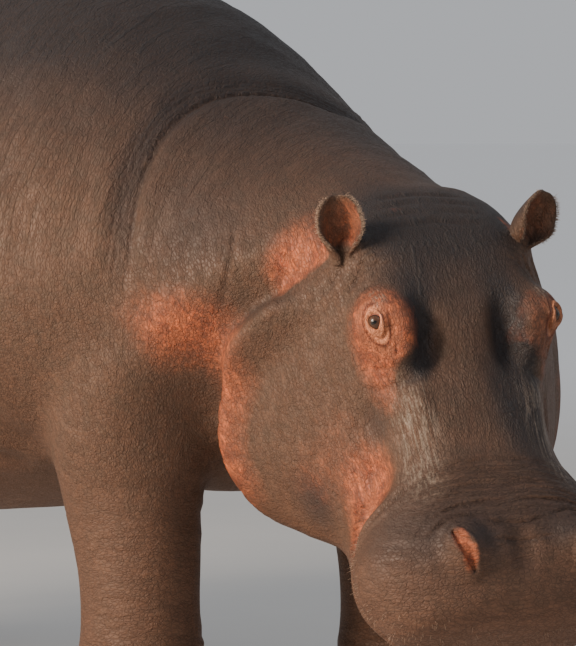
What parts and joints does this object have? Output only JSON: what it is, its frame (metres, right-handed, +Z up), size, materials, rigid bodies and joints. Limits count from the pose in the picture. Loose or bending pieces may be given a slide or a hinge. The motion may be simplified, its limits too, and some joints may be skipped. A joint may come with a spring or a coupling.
{
  "type": "hippopotamus",
  "caption": "Life-size still model of a standing hippopotamus, its broad head lowered and turned to its right, for a museum floor.",
  "frame": {"origin": "on the floor, under the middle of the animal's bounding box", "axes": "+X the way the trunk faces, +Y the animal's left, +Z up from the floor"},
  "size_m": [3.0998, 1.139, 1.4365],
  "materials": {
    "hide": "damp, finely wrinkled hide",
    "ear_skin": "thin reddish-brown skin with short hairs",
    "eye": "wet dark brown eye",
    "nail": "worn horn"
  },
  "bodies": {
    "root": {"trunk": "hide", "neck": "hide", "head": "hide", "tail": "hide", "foreleg_right": "hide", "foreleg_left": "hide", "hindleg_right": "hide", "hindleg_left": "hide", "ear_right": "ear_skin", "ear_left": "ear_skin", "eye_right": "eye", "eye_left": "eye", "nail_foreleg_right_1": "nail", "nail_foreleg_right_2": "nail", "nail_foreleg_right_3": "nail", "nail_foreleg_right_4": "nail", "nail_foreleg_left_1": "nail", "nail_foreleg_left_2": "nail", "nail_foreleg_left_3": "nail", "nail_foreleg_left_4": "nail", "nail_hindleg_right_1": "nail", "nail_hindleg_right_2": "nail", "nail_hindleg_right_3": "nail", "nail_hindleg_right_4": "nail", "nail_hindleg_left_1": "nail", "nail_hindleg_left_2": "nail", "nail_hindleg_left_3": "nail", "nail_hindleg_left_4": "nail"}
  },
  "joints": []
}
